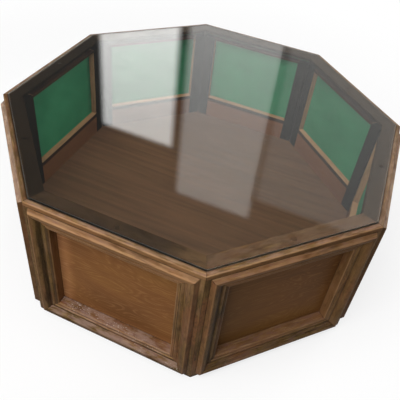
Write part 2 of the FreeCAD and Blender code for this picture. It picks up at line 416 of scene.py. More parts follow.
def stained_wood(name, upright, seed, wear_and_highlights, creases, redness=None, paleness=None, fading_and_sheen=None,
                 faded_and_sheen_tone=DUSTY_STAIN_AND_SHEEN):
    """Worn brown stain over a streaky grain, with painted sheen, highlights and shade.

    wear_and_highlights, creases, redness, paleness and fading_and_sheen are functions of the tree, the
    place in the side's own directions and the side's number: how rubbed the edges are and where highlights
    are painted, how dark the hollows and the joints are with dirt and painted shade, how red or how pale
    the stain is, and how faded the faces are that look up, with painted sheen.
    """
    material, tree, shader = new_material(name)
    place, number = side_place(tree)
    grain = grain_place(tree, place, number, upright, seed)
    near = near_side(tree, number)
    streaks = noise(tree, grain, STREAK_SCALES, detail=5, roughness=0.62, distortion=0.8)
    fibres = noise(tree, grain, FIBRE_SCALES, detail=2, roughness=0.6)
    patches = noise(tree, grain, PATCH_SCALES)
    mottle = noise(tree, grain, MOTTLE_SCALES, detail=4, roughness=0.65)
    colour = ramp(tree, streaks, STAIN_TONES)
    colour = mix(tree, band(tree, patches, *RED_PATCHES), colour, RED_STAIN)
    colour = mix(tree, band(tree, patches, *OLIVE_PATCHES), colour, OLIVE_STAIN)
    colour = mix(tree, band(tree, fibres, *DARK_FIBRES), colour, DARK_STAIN)
    colour = mix(tree, band(tree, mottle, *DARK_MOTTLE), colour, DARK_STAIN)
    colour = mix(tree, band(tree, mottle, *PALE_MOTTLE), colour, PALE_STAIN)

    if redness:
        colour = mix(tree, redness(tree, place, number), colour, RED_STAIN)
    # Paler parts, some of them painted light under the top rail and beside the panel
    if paleness:
        colour = mix(tree, paleness(tree, place, number), colour, ORANGE_STAIN_AND_LIGHT)

    # Painted shade: the sides other than the front and the one to its right are darkened
    colour = mix(tree, level(tree, near, FAR_SIDE_SHADE, 0.0), colour, DARK_STAIN)

    # Faces that look up are faded and dusty, with painted sheen: greyer on the far sides, mauve near the
    # floor
    normal = add(tree, "NewGeometry").outputs["Normal"]
    low_down = step(tree, split(tree, place)[2], *NEAR_FLOOR)
    rise = calc(tree, "MULTIPLY_ADD", low_down, FLOOR_RISE, split(tree, normal)[2])
    looks_up = step(tree, rise, *LOOKS_UP)
    faded_and_sheen = times(tree, looks_up, fading_and_sheen(tree, place, number)) if fading_and_sheen else looks_up
    blotch = step(tree, noise(tree, grain, BLOTCH_SCALES, detail=4), *BLOTCHES)
    blotch = most(tree, blotch, level(tree, near, FAR_SIDE_BLOTCH, 0.0))
    dust_and_sheen = mix(tree, near, GREY_DUST_AND_SHEEN, faded_and_sheen_tone)
    dust_and_sheen = mix(tree, low_down, dust_and_sheen, MAUVE_DUST_AND_SHEEN)
    colour = mix(tree, times(tree, faded_and_sheen, blotch, level(tree, low_down, *FADED_AND_SHEEN_COVER)), colour, dust_and_sheen)

    # They are mottled too, and carry painted golden glints
    bruises = band(tree, noise(tree, grain, BRUISE_SCALES), *BRUISES)
    colour = mix(tree, times(tree, looks_up, bruises), colour, BRUISE)
    glints = band(tree, noise(tree, grain, GLINT_SCALES), *GLINTS)
    colour = mix(tree, times(tree, looks_up, glints), colour, GOLD_GLINT)

    # Uneven wash of stain, darker and paler by turns along the grain
    wash = noise(tree, grain, WASH_SCALES, roughness=0.6)
    kept = level(tree, low_down, *WASH_COVER)
    colour = mix(tree, times(tree, band(tree, wash, *DARK_WASH), kept), colour, DARK_STAIN)
    colour = mix(tree, times(tree, band(tree, wash, *PALE_WASH), kept), colour, DUSTY_STAIN_AND_SHEEN)

    # Dirt, dark joints and painted shade in the hollows and recesses
    colour = mix(tree, creases(tree, place, number), colour, CREASE)

    # Rubbed edges, painted highlights on the moulding and a handled corner, with an uneven border
    ragged = step(tree, noise(tree, grain, RAGGED_SCALES, detail=4), *RAGGED_BORDER)
    wear_and_highlight = most(tree, wear_and_highlights(tree, place, number), handled_corner(tree, place, number))
    colour = mix(tree, times(tree, wear_and_highlight, ragged, RUBBED_AND_HIGHLIGHT_COVER), colour, RUBBED_AND_HIGHLIGHT)

    # Specks of plaster dust, near the floor
    gathered = step(tree, noise(tree, grain, GATHERED_SCALES, detail=1), *GATHERED_DUST)
    specks = step(tree, noise(tree, grain, SPECK_SCALES, detail=2), *SPECKS)
    colour = mix(tree, times(tree, specks, gathered, faded_and_sheen, low_down, SPECK_COVER), colour, DUST)

    feed(tree, shader.inputs["Base Color"], colour)
    feed(tree, shader.inputs["Roughness"], level(tree, streaks, *STAIN_ROUGHNESS))
    feed(tree, shader.inputs["Specular IOR Level"], WOOD_SHINE)
    relief = calc(tree, "MULTIPLY_ADD", fibres, FIBRE_HEIGHT, times(tree, streaks, STREAK_HEIGHT))
    bump(tree, shader, relief, *STAIN_BUMP)
    return material


# Frame: its arris, its dirt, and painted shadow along the moulding
ARRIS_FACE = (-FACE_REACH + 0.004, -FACE_REACH + 0.002)
ARRIS_WEAR = (0.0030, 0.0008, 0.03)
ARRIS_DIRT = (0.0022, 0.0006, 0.30)
MOULDING_JOINT_AND_SHADOW = (-LAND - 0.0030, -LAND - 0.0005, 0.7)
UNDER_RIM_DIRT = (RIM_BOTTOM - 0.0016, RIM_BOTTOM - 0.0005, 0.4)
FLOOR_DARKENING = (0.012, 0.001, 0.7)
RAIL_JOINT_HALF_WIDTH = 0.0010
RAIL_JOINT_DIRT = 0.7
DIRT_AND_SHADE_COVER = 0.85


def from_arris(tree, x):
    """How far a place is from the nearer corner of the table, along the side."""
    return calc(tree, "SUBTRACT", HALF_EDGE, magnitude(tree, x))


def frame_wear(tree, place, number):
    """Arris at each corner of the table."""
    x, y, _ = split(tree, place)
    return times(tree, step(tree, y, *ARRIS_FACE), band(tree, from_arris(tree, x), *ARRIS_WEAR))


def frame_creases(tree, place, number):
    """Painted shadow along the moulding, a dark joint under the rim, darker towards the floor, and dark
    joints at the corners and where a rail meets its stiles.
    """
    x, _, z = split(tree, place)
    beside = calc(tree, "MINIMUM", *across_moulding(tree, place))
    joint = ridge(tree, magnitude(tree, x), HALF_OPENING, RAIL_JOINT_HALF_WIDTH)
    dirt_and_shade = most(
        tree,
        band(tree, beside, *MOULDING_JOINT_AND_SHADOW),
        band(tree, z, *UNDER_RIM_DIRT),
        band(tree, z, *FLOOR_DARKENING),
        times(tree, joint, RAIL_JOINT_DIRT),
        band(tree, from_arris(tree, x), *ARRIS_DIRT),
    )
    return times(tree, dirt_and_shade, DIRT_AND_SHADE_COVER)


# Moulding: thin painted highlight lines, as distances inside the opening's edge
LINE_HALF_WIDTH = 0.0013
RAIL_LINES = (0.0175, 0.0263)
RAIL_LINE_HIGHLIGHT = (0.30, 0.55)
STILE_LINES = ((0.0202, 0.30), (0.0263, 0.45))
LEFT_LINE_HIGHLIGHT = 0.10
BEVEL_EDGE = (CREST_PLACE - 0.0045, CREST_PLACE - 0.0015, CREST_PLACE - 0.0005, CREST_PLACE + 0.0012)
BEVEL_EDGE_WEAR_AND_HIGHLIGHT = (0.15, 0.65)
CREST_HALF_WIDTH = 0.0020
CREST_WEAR = 0.20


def rail_wear_and_highlights(tree, place, number):
    """Bevel's edge along the top, rubbed and with a painted highlight, and two thin painted highlight lines
    beside the beads, most of all at the front.
    """
    inside = across_moulding(tree, place)[0]
    front = on_side(tree, number, FRONT)
    crest = times(tree, strip(tree, inside, *BEVEL_EDGE), upper(tree, place))
    crest = times(tree, crest, level(tree, front, *BEVEL_EDGE_WEAR_AND_HIGHLIGHT))
    lines = most(tree, *(ridge(tree, inside, line, LINE_HALF_WIDTH) for line in RAIL_LINES))
    return most(tree, crest, times(tree, lines, level(tree, front, *RAIL_LINE_HIGHLIGHT)))


def stile_wear_and_highlights(tree, place, number):
    """Crest, hardly, and two thin painted highlight lines beside the beads of the right-hand stile."""
    inside = across_moulding(tree, place)[1]
    crest = times(tree, ridge(tree, inside, CREST_PLACE, CREST_HALF_WIDTH), CREST_WEAR)
    lines = most(tree, *(times(tree, ridge(tree, inside, line, LINE_HALF_WIDTH), strength)
                         for line, strength in STILE_LINES))
    return most(tree, crest, times(tree, lines, level(tree, left_hand(tree, place), 1.0, LEFT_LINE_HIGHLIGHT)))


# Moulding: dirt and painted shade
MITRE_DIRT = (0.0012, 0.0003, 0.8)
PANEL_JOINT_DIRT = (PANEL_FACE - 0.0024, PANEL_FACE - 0.0004, 0.7)
QUIRK_HALF_WIDTH = 0.0034
QUIRK_SHADE = 0.30
RAIL_FOOT_DARKENING = (CREST_PLACE + 0.0105, CREST_PLACE + 0.0050, 0.60)
RIGHT_FOOT_COVER = 0.1
RAIL_HOLLOW = (-0.004, 0.0, 0.012, 0.018)
RAIL_HOLLOW_DARKENING = 0.28
FAR_HALF = (-0.03, 0.06)
FAR_HALF_DARKENING = (0.10, 0.32)
STILE_HOLLOW = (HOLLOW_START, HOLLOW_FULL, QUIRK_END, QUIRK_END + 0.0030)
STILE_GROOVE = (GROOVE_START, GROOVE_START + 0.0006, GROOVE_END - 0.0015, GROOVE_END)
STILE_DIRT_AND_SHADE = 0.66
RIGHT_STILE_COVER = 0.12
STILE_OVOLO = (CREST_PLACE + 0.001, CREST_PLACE + 0.004, 0.004, 0.008)
FRONT_OVOLO_DARKENING = 0.20
RIGHT_OVOLO_SHADE = 0.32


def mitre_and_joint(tree, place):
    """Dirt at the mitres and at the joint with the panel."""
    from_rail, from_stile = across_moulding(tree, place)
    off = magnitude(tree, calc(tree, "SUBTRACT", from_rail, from_stile))
    joint = band(tree, split(tree, place)[1], *PANEL_JOINT_DIRT)
    return most(tree, band(tree, off, *MITRE_DIRT), joint)


def rail_creases(tree, place, number):
    """Painted shade in the quirk, darker edges of the rails on some sides, and dark mitres and panel joint.
    """
    inside = across_moulding(tree, place)[0]
    top_rail = upper(tree, place)
    low_rail = opposite(tree, top_rail)
    right_side = on_side(tree, number, FRONT_RIGHT)
    quirk = times(tree, ridge(tree, inside, QUIRK_END, QUIRK_HALF_WIDTH), QUIRK_SHADE)
    foot = times(tree, low_rail, band(tree, inside, *RAIL_FOOT_DARKENING))
    foot = times(tree, foot, level(tree, right_side, 1.0, RIGHT_FOOT_COVER))
    hollow = times(tree, strip(tree, inside, *RAIL_HOLLOW), low_rail, right_side, RAIL_HOLLOW_DARKENING)
    far_half = level(tree, step(tree, split(tree, place)[0], *FAR_HALF), *FAR_HALF_DARKENING)
    far_half = times(tree, far_half, top_rail, right_side)
    dirt_and_shade = most(tree, quirk, foot, hollow, far_half, mitre_and_joint(tree, place))
    return times(tree, dirt_and_shade, DIRT_AND_SHADE_COVER)


def stile_creases(tree, place, number):
    """Dirt and painted shade in the hollow and groove, darkest on the left-hand stile as painted shade; a
    darker ovolo at the front, painted shade on the ovolo of the left-hand stile to its right; mitres and
    the panel's joint.
    """
    inside = across_moulding(tree, place)[1]
    left = left_hand(tree, place)
    hollow = strip(tree, inside, *STILE_HOLLOW)
    groove = strip(tree, inside, *STILE_GROOVE)
    dirt_and_shade = times(tree, most(tree, hollow, groove), STILE_DIRT_AND_SHADE, level(tree, left, RIGHT_STILE_COVER, 1.0))
    at_front = times(tree, on_side(tree, number, FRONT), FRONT_OVOLO_DARKENING)
    at_right = times(tree, on_side(tree, number, FRONT_RIGHT), left, RIGHT_OVOLO_SHADE)
    ovolo = times(tree, strip(tree, inside, *STILE_OVOLO), most(tree, at_front, at_right))
    return times(tree, most(tree, dirt_and_shade, ovolo, mitre_and_joint(tree, place)), DIRT_AND_SHADE_COVER)


# Moulding: redder parts, paler parts that are partly painted light, and where the faces that look up are
# less faded and carry less painted sheen
LEDGE = (LEDGE_START, LEDGE_FULL)
OUTER_BEVEL = (-0.008, -0.012)
RAIL_LEDGE_RED = 0.4
RAIL_BEVEL_RED = 0.4
STILE_WALL_RED = 0.2
STILE_BEVEL_RED = 0.3
UNDER_TOP_RAIL = (CREST_PLACE, CREST_PLACE + 0.003, 0.75)
FRONT_RIGHT_END = (-0.02, 0.14, 0.45)
RIGHT_LEDGE_PALE = 0.40
ABOVE_FOOT = (CREST_PLACE + 0.003, CREST_PLACE + 0.010)
RIGHT_RAIL_DROP = (-0.15, -0.80)
LOWER_WALL = (0.30, 0.12)
WALL_BORDER = (WALL_PLACE - 0.0010, WALL_PLACE)
WALL_PALE = (0.30, 0.90)
INNER_HALF = (CREST_PLACE, CREST_PLACE + 0.006)
INNER_HALF_PALE = (0.15, 0.40)
LEFT_CREST_PLACE = CREST_PLACE + 0.003
LEFT_CREST_HALF_WIDTH = 0.008
LEFT_CREST_PALE = 0.25


def rail_redness(tree, place, number):
    """Ledge of the moulding beside the panel, and its outer bevel."""
    inside = across_moulding(tree, place)[0]
    ledge = band(tree, inside, *LEDGE, RAIL_LEDGE_RED)
    return most(tree, ledge, band(tree, inside, *OUTER_BEVEL, RAIL_BEVEL_RED))


def stile_redness(tree, place, number):
    """A little, on the outer bevel and on the wall beside the panel."""
    inside = across_moulding(tree, place)[1]
    wall = band(tree, inside, *LEDGE, STILE_WALL_RED)
    return most(tree, wall, band(tree, inside, *OUTER_BEVEL, STILE_BEVEL_RED))


def rail_paleness(tree, place, number):
    """Painted light on the under side of the top rail, and a paler ledge on the side to the right of the
    front.
    """
    inside = across_moulding(tree, place)[0]
    under = times(tree, upper(tree, place), band(tree, inside, *UNDER_TOP_RAIL))
    right_end = band(tree, split(tree, place)[0], *FRONT_RIGHT_END)
    under_front = times(tree, under, on_side(tree, number, FRONT))
    under = calc(tree, "MULTIPLY_ADD", under_front, right_end, under)
    ledge = times(tree, band(tree, inside, *LEDGE, RIGHT_LEDGE_PALE), on_side(tree, number, FRONT_RIGHT))
    return most(tree, under, ledge)


def rail_fading_and_sheen(tree, place, number):
    """Fading and painted sheen: least on the side to the right of the front, but for its foot."""
    above_foot = step(tree, across_moulding(tree, place)[0], *ABOVE_FOOT)
    drop = level(tree, above_foot, *RIGHT_RAIL_DROP)
    return calc(tree, "MULTIPLY_ADD", on_side(tree, number, FRONT_RIGHT), drop, 1.0)


def stile_paleness(tree, place, number):
    """Painted light on the wall beside the panel and, less so, on the right-hand stile's inner half; a
    paler left crest at the front.
    """
    inside = across_moulding(tree, place)[1]
    left = left_hand(tree, place)
    lower = step(tree, split(tree, place)[2], *LOWER_WALL)
    wall = times(tree, step(tree, inside, *WALL_BORDER), level(tree, lower, *WALL_PALE))
    half = times(tree, step(tree, inside, *INNER_HALF), opposite(tree, left))
    half = times(tree, half, level(tree, on_side(tree, number, FRONT_RIGHT), *INNER_HALF_PALE))
    crest = times(tree, ridge(tree, inside, LEFT_CREST_PLACE, LEFT_CREST_HALF_WIDTH), left, LEFT_CREST_PALE)
    return most(tree, wall, half, times(tree, crest, on_side(tree, number, FRONT)))


# Rim: its fading and painted sheen, its outer face, its rubbed edge, and its dirt and painted shade
RIM_NEAR_FADING_AND_SHEEN = (0.50, 1.0)
RIM_LEFT_DROP = -0.45
RIM_OUTER_FACE = (RIM_TOP - 0.001, RIM_TOP - 0.005)
RIM_FACE_RED = 0.25
RIM_FACE_PALE = 0.70
RIM_EDGE = (0.0034, 0.0012)
RIM_EDGE_WEAR = (0.25, 0.55)
RIM_JOINT_DIRT = (RIM_BOTTOM + 0.0016, RIM_BOTTOM + 0.0005, 0.4)
REBATE_SHADE = (-PANE_REACH - 0.0048, -PANE_REACH - 0.0028, 0.75)
RIGHT_REBATE_COVER = 0.45
UNDER_PANE = (-PANE_REACH, -PANE_REACH + 0.004)
UNDER_PANE_SHADE = (0.85, 0.98)
UNDER_PANE_RIGHT_DROP = -0.35
RIM_MITRE = (0.0010, 0.0003)
RIM_OUTER_EDGE = (0.0042, 0.0012)
RIM_FAR_END = (-0.12, 0.02)
RIM_OUTER_DARKENING = 0.45


def rim_fading_and_sheen(tree, place, number):
    """Fading and painted sheen: most at the front and the side to its right, least on the side to its left.
    """
    most_faded = level(tree, near_side(tree, number), *RIM_NEAR_FADING_AND_SHEEN)
    return calc(tree, "MULTIPLY_ADD", on_side(tree, number, FRONT_LEFT), RIM_LEFT_DROP, most_faded)


def rim_redness(tree, place, number):
    """Outer face of the rim."""
    return band(tree, split(tree, place)[2], *RIM_OUTER_FACE, RIM_FACE_RED)


def rim_paleness(tree, place, number):
    """Outer face of the rim, too."""
    return band(tree, split(tree, place)[2], *RIM_OUTER_FACE, RIM_FACE_PALE)


def rim_wear(tree, place, number):
    """Upper outer edge of the rim."""
    _, y, z = split(tree, place)
    inwards = calc(tree, "ADD", y, FACE_REACH)
    below = calc(tree, "SUBTRACT", RIM_TOP, z)
    outer = step(tree, most(tree, inwards, below), *RIM_EDGE)
    return times(tree, outer, level(tree, near_side(tree, number), *RIM_EDGE_WEAR))


def rim_creases(tree, place, number):
    """Dark joint with the frame and at the mitres, painted shade in the rebate beside the pane and on the
    rim under the pane's edge, and a darker outer edge on the side to the right of the front.
    """
    x, y, z = split(tree, place)
    right_side = on_side(tree, number, FRONT_RIGHT)
    joint = band(tree, z, *RIM_JOINT_DIRT)
    right_pair = on_pair(tree, number, FRONT_RIGHT, RIGHT)
    rebate = times(tree, band(tree, y, *REBATE_SHADE), level(tree, right_pair, 1.0, RIGHT_REBATE_COVER))
    cover = level(tree, on_pair(tree, number, LEFT, FRONT_LEFT), *UNDER_PANE_SHADE)
    cover = calc(tree, "MULTIPLY_ADD", right_side, UNDER_PANE_RIGHT_DROP, cover)
    under_pane = times(tree, step(tree, y, *UNDER_PANE), cover)
    half_length = times(tree, y, -CORNER_SLOPE)
    mitre = step(tree, calc(tree, "SUBTRACT", half_length, magnitude(tree, x)), *RIM_MITRE)
    outer = step(tree, calc(tree, "ADD", y, FACE_REACH), *RIM_OUTER_EDGE)
    outer = times(tree, outer, step(tree, x, *RIM_FAR_END), right_side, RIM_OUTER_DARKENING)
    return most(tree, under_pane, times(tree, most(tree, joint, rebate, mitre, outer), DIRT_AND_SHADE_COVER))


# Veneer of the panels, and the green baize on their inner faces
VENEER_TONES = (
    (0.32, (0.155, 0.064, 0.022)),
    (0.52, (0.205, 0.086, 0.028)),
    (0.70, (0.235, 0.106, 0.032)),
)
VENEER_PALE = (0.34, 0.175, 0.066)
VENEER_BAND = (0.12, 0.045, 0.015)
VENEER_FIBRE = (0.11, 0.042, 0.014)
VENEER_SHADE_TONE = (0.070, 0.040, 0.012)
VENEER_LIGHTENING = (1.75, 1.85, 2.30)
VENEER_SEED = 2.9
FIGURE_SCALES = (2.6, 9, 9)
FIGURE_BANDS = 150.0
VENEER_FIBRE_SCALES = (9, 300, 300)
VENEER_PATCH_SCALES = (4, 9, 9)
PALE_BANDS = (0.3, 1.0)
PALE_VENEER_FIBRES = (0.42, 0.60)
PALE_FIGURE_COVER = 0.38
DARK_BANDS = (-0.3, -1.0, 0.14)
DARK_VENEER_FIBRES = (0.50, 0.30, 0.35)
SHADE_END = (0.05, -0.15)
SHADE_COVER = (0.25, 0.50)
LIGHTER_FOOT = (PANEL_FOOT + 0.030, PANEL_FOOT, 0.30)
PAINTED_LIGHT_END = (-PANEL_END + 0.045, -PANEL_END + 0.002)
INNER_FACE = (PANEL_FACE + 0.002, PANEL_FACE + 0.004)
BAIZE_TONES = ((0.35, (0.028, 0.205, 0.102)), (0.65, (0.052, 0.290, 0.150)))
NAP_SCALES = (500, 500, 500)
NAP_SHARE = 0.4
BAIZE_FADE_SCALES = (7, 7, 7)
BAIZE_FADE_SHARE = 0.6
PANEL_ROUGHNESS = (0.38, 0.78)
PANEL_FIBRE_ROUGHNESS = 0.2
PANEL_BUMP = (0.0003, 0.5)


def veneer():
    """Orange-brown veneer with a soft wavy figure, and green baize behind."""
    material, tree, shader = new_material("veneer_figured")
    place, number = side_place(tree)
    front = on_side(tree, number, FRONT)
    grain = grain_place(tree, place, number, False, VENEER_SEED)
    field = noise(tree, grain, FIGURE_SCALES, detail=2, roughness=0.5, distortion=0.9)
    bands = calc(tree, "SINE", times(tree, field, FIGURE_BANDS))
    fibres = noise(tree, grain, VENEER_FIBRE_SCALES, detail=4, roughness=0.65, distortion=0.3)
    patches = noise(tree, grain, VENEER_PATCH_SCALES, detail=2)
    colour = ramp(tree, patches, VENEER_TONES)
    pale = times(tree, step(tree, bands, *PALE_BANDS), step(tree, fibres, *PALE_VENEER_FIBRES))
    colour = mix(tree, times(tree, pale, PALE_FIGURE_COVER), colour, VENEER_PALE)
    colour = mix(tree, band(tree, bands, *DARK_BANDS), colour, VENEER_BAND)
    colour = mix(tree, band(tree, fibres, *DARK_VENEER_FIBRES), colour, VENEER_FIBRE)

    # The other sides are darkened with painted shade, and the front is lighter at its foot and has painted
    # light at its left end, where the wall shades it
    x, y, z = split(tree, place)
    shaded = level(tree, step(tree, x, *SHADE_END), *SHADE_COVER)
    colour = mix(tree, times(tree, shaded, opposite(tree, front)), colour, VENEER_SHADE_TONE)
    lightened = most(tree, band(tree, z, *LIGHTER_FOOT), step(tree, x, *PAINTED_LIGHT_END))
    colour = mix(tree, times(tree, front, lightened), colour, VENEER_LIGHTENING, blend="MULTIPLY")

    behind = step(tree, y, *INNER_FACE)
    nap = noise(tree, grain, NAP_SCALES, detail=2)
    fade = noise(tree, grain, BAIZE_FADE_SCALES, detail=2)
    cloth = calc(tree, "MULTIPLY_ADD", nap, NAP_SHARE, times(tree, fade, BAIZE_FADE_SHARE))
    colour = mix(tree, behind, colour, ramp(tree, cloth, BAIZE_TONES))

    feed(tree, shader.inputs["Base Color"], colour)
    matt = level(tree, behind, *PANEL_ROUGHNESS)
    feed(tree, shader.inputs["Roughness"], calc(tree, "MULTIPLY_ADD", fibres, PANEL_FIBRE_ROUGHNESS, matt))
    feed(tree, shader.inputs["Specular IOR Level"], WOOD_SHINE)
    bump(tree, shader, fibres, *PANEL_BUMP)
    return material


# Battens round the baize
BATTEN_DARK = (0.006, 0.005, 0.004)
BATTEN_PALE = (0.020, 0.015, 0.011)
BATTEN_BROWN = (0.215, 0.086, 0.036)
BATTEN_TAN = (0.420, 0.235, 0.125)
BATTEN_TONES = ((0.32, BATTEN_DARK), (0.68, BATTEN_PALE))
BATTEN_STREAK_SCALES = (6, 90, 90)
BATTEN_FIBRE_SCALES = (30, 700, 700)
BATTEN_EDGE = (0.6, 0.4)
STILE_INNER_EDGE = (BATTEN_SPAN + 0.002, BATTEN_SPAN + 0.001)
FOOT_INNER_EDGE = (BATTEN_FOOT_TOP + 0.002, BATTEN_FOOT_TOP + 0.001)
FOOT_BROWN = (BATTEN_FOOT_TOP - 0.010, BATTEN_FOOT_TOP - 0.018, 0.8)
BROWN_STREAKS = 0.3
BARE_STREAKS = (0.30, 0.50)
BARE_COVER = (0.6, 1.0)
BATTEN_ROUGHNESS = (0.45, 0.70)
INNER_WOOD_BUMP = (0.0004, 0.5)


def batten_wood(name, upright, seed):
    """Near-black on the battens inside, and bare tan wood on their edges."""
    material, tree, shader = new_material(name)
    place, number = side_place(tree)
    grain = grain_place(tree, place, number, upright, seed)
    streaks = noise(tree, grain, BATTEN_STREAK_SCALES, detail=4, roughness=0.6, distortion=0.4)
    fibres = noise(tree, grain, BATTEN_FIBRE_SCALES, detail=2)
    colour = ramp(tree, streaks, BATTEN_TONES)
    normal = turn_to_front(tree, add(tree, "NewGeometry").outputs["Normal"], number)
    edge = step(tree, magnitude(tree, split(tree, normal)[1]), *BATTEN_EDGE)
    x, _, z = split(tree, place)
    if upright:
        inner = step(tree, magnitude(tree, x), *STILE_INNER_EDGE)
    else:
        inner = step(tree, z, *FOOT_INNER_EDGE)
        brown = calc(tree, "MULTIPLY_ADD", streaks, BROWN_STREAKS, band(tree, z, *FOOT_BROWN))
        colour = mix(tree, brown, colour, BATTEN_BROWN)
    bare = level(tree, step(tree, streaks, *BARE_STREAKS), *BARE_COVER)
    colour = mix(tree, times(tree, edge, inner, bare), colour, BATTEN_TAN)
    colour = mix(tree, band(tree, fibres, *DARK_FIBRES), colour, BATTEN_DARK)
    feed(tree, shader.inputs["Base Color"], colour)
    feed(tree, shader.inputs["Roughness"], level(tree, streaks, *BATTEN_ROUGHNESS))
    feed(tree, shader.inputs["Specular IOR Level"], WOOD_SHINE)
    bump(tree, shader, fibres, *INNER_WOOD_BUMP)
    return material


# Plain boards inside, pale and dark, and corner blocks painted near-black as shade
SOFTWOOD = ((0.28, 0.160, 0.075), (0.19, 0.100, 0.045))
BLOCK_SHADE_TONES = ((0.028, 0.020, 0.015), (0.013, 0.010, 0.008))
BOARD_STAIN = ((0.172, 0.084, 0.042), (0.096, 0.046, 0.023))
BOARD_STREAK_SCALES = (3, 70, 70)
BOARD_FIBRE_SCALES = (25, 700, 700)
BOARD_DARK_PLACE, BOARD_PALE_PLACE = 0.3, 0.7
DARK_BOARD_FIBRES = (0.5, 0.8, 0.4)
BOARD_ROUGHNESS = (0.5, 0.7)


def plain_wood(name, tones, seed, one_board=False):
    """Bare or lightly stained boards inside the table, or near-black corner blocks as painted shade, either
    one for all or one for each side.
    """
    material, tree, shader = new_material(name)
    place, number = (object_place(tree), 0) if one_board else side_place(tree)
    pale, dark = tones
    grain = grain_place(tree, place, number, False, seed)
    streaks = noise(tree, grain, BOARD_STREAK_SCALES, detail=4, roughness=0.6, distortion=0.3)
    fibres = noise(tree, grain, BOARD_FIBRE_SCALES, detail=2)
    colour = ramp(tree, streaks, ((BOARD_DARK_PLACE, dark), (BOARD_PALE_PLACE, pale)))
    colour = mix(tree, band(tree, fibres, *DARK_BOARD_FIBRES), colour, dark)
    feed(tree, shader.inputs["Base Color"], colour)
    feed(tree, shader.inputs["Roughness"], level(tree, streaks, *BOARD_ROUGHNESS))
    bump(tree, shader, fibres, *INNER_WOOD_BUMP)
    return material


# Pane: its tint, its edge, wipe marks and what it lets through to light the inside
PANE_TINTS = ((0.3, (0.78, 0.79, 0.75)), (0.7, (0.83, 0.84, 0.80)))
WIPE_SCALES = (5, 14, 5)
PANE_EDGE = (-PANE_REACH + 0.0020, -PANE_REACH + 0.0010)
PANE_EDGE_TONE = (0.020, 0.026, 0.020)
RIGHT_EDGE_TONE = (0.150, 0.130, 0.100)
SMEARS = (0.62, 0.85, 0.02)
EDGE_ROUGHNESS = 0.35
PANE_INDEX = 1.6
LET_THROUGH = (0.90, 0.90, 0.88, 1.0)


def pane_glass():
    """Clear pane with faint wipe marks, which lets the lamps light what lies under it."""
    material, tree, shader = new_material("pane_clear")
    place, number = side_place(tree)
    wipes = noise(tree, object_place(tree), WIPE_SCALES, detail=4, roughness=0.65, distortion=1.2)
    edge = step(tree, split(tree, place)[1], *PANE_EDGE)
    right_pair = on_pair(tree, number, FRONT_RIGHT, RIGHT)
    edge_tone = mix(tree, right_pair, PANE_EDGE_TONE, RIGHT_EDGE_TONE)
    feed(tree, shader.inputs["Base Color"], mix(tree, edge, ramp(tree, wipes, PANE_TINTS), edge_tone))
    smears = band(tree, wipes, *SMEARS)
    feed(tree, shader.inputs["Roughness"], calc(tree, "MULTIPLY_ADD", edge, EDGE_ROUGHNESS, smears))
    feed(tree, shader.inputs["Transmission Weight"], 1.0)
    feed(tree, shader.inputs["IOR"], PANE_INDEX)
    through = add(tree, "BsdfTransparent")
    feed(tree, through.inputs["Color"], LET_THROUGH)
    blend_shaders(tree, add(tree, "LightPath").outputs["Is Shadow Ray"], shader, through)
    return material


# Pads, painted in the tones of the rim under them, because clear discs hardly show
PAD_DARK = (0.009, 0.007, 0.005)
PAD_MID = (0.038, 0.025, 0.015)
PAD_PALE = (0.110, 0.062, 0.036)
PAD_CLOUD_TONE = (1.35, 1.35, 1.35)
PAD_CLOUD_SCALES = (300, 300, 300)
PAD_CLOUD = (0.35, 0.65)
PAD_ROUGHNESS = (0.3, 0.5)


def clear_vinyl():
    """Soft disc, faintly cloudy, in the tone of the rim under it."""
    material, tree, shader = new_material("pad_vinyl")
    place, number = side_place(tree)
    cloud = noise(tree, place, PAD_CLOUD_SCALES)
    tone = mix(tree, on_pair(tree, number, LEFT, FRONT_LEFT), PAD_MID, PAD_DARK)
    tone = mix(tree, on_side(tree, number, FRONT_RIGHT), tone, PAD_PALE)
    colour = mix(tree, step(tree, cloud, *PAD_CLOUD), tone, PAD_CLOUD_TONE, blend="MULTIPLY")
    feed(tree, shader.inputs["Base Color"], colour)
    feed(tree, shader.inputs["Roughness"], level(tree, cloud, *PAD_ROUGHNESS))
    return material


# Screws
ZINC_TONES = ((0.3, (0.42, 0.41, 0.38)), (0.7, (0.60, 0.59, 0.56)))
TURNING_SCALES = (900, 900, 2500)
ZINC_ROUGHNESS = (0.25, 0.55)
ZINC_BUMP = (0.0002, 0.4)


def screw_steel():
    """Zinc-plated steel with turning marks."""
    material, tree, shader = new_material("screw_zinc")
    marks = noise(tree, object_place(tree), TURNING_SCALES)
    feed(tree, shader.inputs["Base Color"], ramp(tree, marks, ZINC_TONES))
    feed(tree, shader.inputs["Metallic"], 1.0)
    feed(tree, shader.inputs["Roughness"], level(tree, marks, *ZINC_ROUGHNESS))
    bump(tree, shader, marks, *ZINC_BUMP)
    return material


def paint(node, material):
    """Gives a node its finish."""
    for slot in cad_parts[node].material_slots:
        slot.material = material


